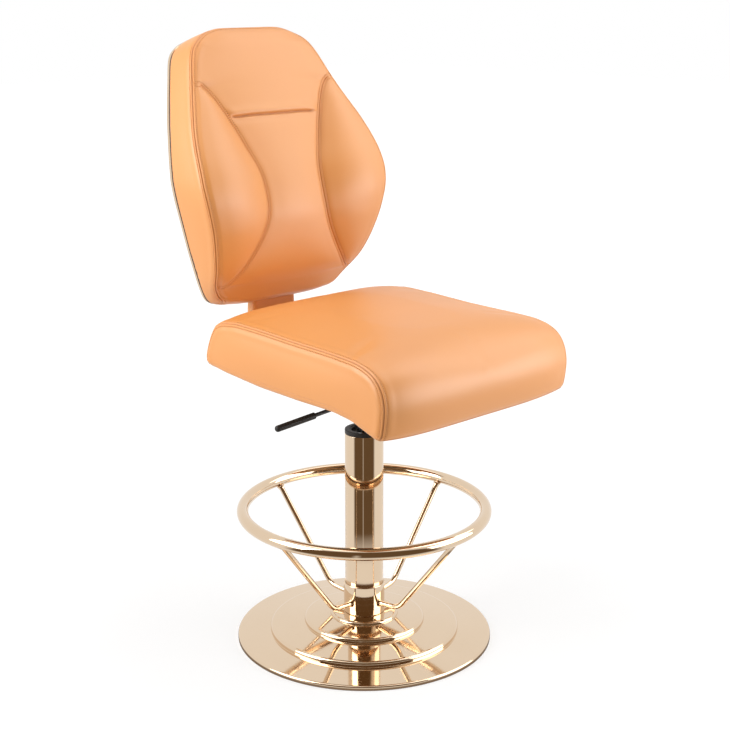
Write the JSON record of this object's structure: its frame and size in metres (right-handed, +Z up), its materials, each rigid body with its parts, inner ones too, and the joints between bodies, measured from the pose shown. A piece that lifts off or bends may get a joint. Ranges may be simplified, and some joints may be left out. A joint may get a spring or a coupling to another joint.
{
  "type": "swivel poker chair",
  "caption": "Height-adjustable swivel casino chair: leather seat and waisted back on a gas lift, polished column, foot ring with bent spokes, and stepped disc base",
  "frame": {"origin": "on the floor, under the column's axis, at the underside of the floor pad", "axes": "+Z up, the sitter faces -Y, and the height lever points along -X, to the sitter's right"},
  "size_m": [0.5072, 0.7221, 1.1795],
  "materials": {
    "champagne_metal": "polished",
    "dark_steel": "satin",
    "bright_steel": "satin",
    "cast_iron": "matte",
    "black_plastic": "satin",
    "black_rubber": "matte",
    "plywood": "matte",
    "tan_leather": "satin",
    "brown_trim": "satin"
  },
  "bodies": {
    "base": {"floor_pad": "black_rubber", "ballast_plate": "cast_iron", "column_flange": "dark_steel", "base_cover": "champagne_metal", "base_screw_1": "bright_steel", "base_screw_2": "bright_steel", "base_screw_3": "bright_steel", "base_screw_4": "bright_steel", "column_tube": "champagne_metal", "column_cap": "black_plastic", "lift_carrier_ring": "dark_steel", "stand_tube": "bright_steel", "guide_bush": "black_plastic", "foot_ring_collar": "champagne_metal", "foot_ring": "champagne_metal", "spoke_1": "champagne_metal", "spoke_2": "champagne_metal", "spoke_3": "champagne_metal", "spoke_4": "champagne_metal", "collar_grub_screw_1": "dark_steel", "collar_grub_screw_2": "dark_steel", "bearing_lower_washer": "bright_steel", "bearing_ball_cage": "bright_steel"},
    "lift_rod": {"bearing_upper_washer": "bright_steel", "piston_rod": "bright_steel", "rod_bumper": "black_rubber", "retaining_clip": "dark_steel"},
    "seat": {"lift_cylinder": "bright_steel", "taper_socket": "dark_steel", "mechanism_plate": "dark_steel", "mechanism_housing": "dark_steel", "lever_pivot_pin": "bright_steel", "plate_bolt_1": "bright_steel", "plate_bolt_2": "bright_steel", "plate_bolt_3": "bright_steel", "plate_bolt_4": "bright_steel", "bracket_seat_bolt_1": "bright_steel", "bracket_seat_bolt_2": "bright_steel", "seat_board": "plywood", "seat_cushion": "tan_leather", "back_bracket": "dark_steel", "bracket_sleeve": "tan_leather", "bracket_back_bolt_1": "bright_steel", "bracket_back_bolt_2": "bright_steel", "bracket_back_bolt_3": "bright_steel", "bracket_back_bolt_4": "bright_steel", "back_board": "plywood", "back_cushion": "tan_leather", "back_trim": "brown_trim", "back_shell": "champagne_metal", "shell_screw_1": "bright_steel", "shell_screw_2": "bright_steel", "shell_screw_3": "bright_steel", "shell_screw_4": "bright_steel"},
    "lever": {"lever_rod": "dark_steel", "lever_grip": "black_plastic"},
    "valve": {"valve_pin": "bright_steel"}
  },
  "joints": [
    {"name": "seat_swivel", "type": "hinge", "parent": "base", "child": "lift_rod", "pos_m": [0, 0, 0.1762], "axis": [0, 0, 1], "continuous": true},
    {"name": "seat_lift", "type": "slide", "parent": "lift_rod", "child": "seat", "axis": [0, 0, 1], "range_m": [0, 0.1]},
    {"name": "lever_lift", "type": "hinge", "parent": "seat", "child": "lever", "pos_m": [-0.04, 0, 0.4907], "axis": [0, 1, 0], "range_deg": [0, 6], "stiffness_Nm_per_rad": 2},
    {"name": "valve_press", "type": "slide", "parent": "seat", "child": "valve", "axis": [0, 0, -1], "range_m": [0, 0.0045]}
  ],
  "couplings": [
    {"joint": "valve_press", "follows": "lever_lift", "m_per_rad": 0.0425}
  ]
}
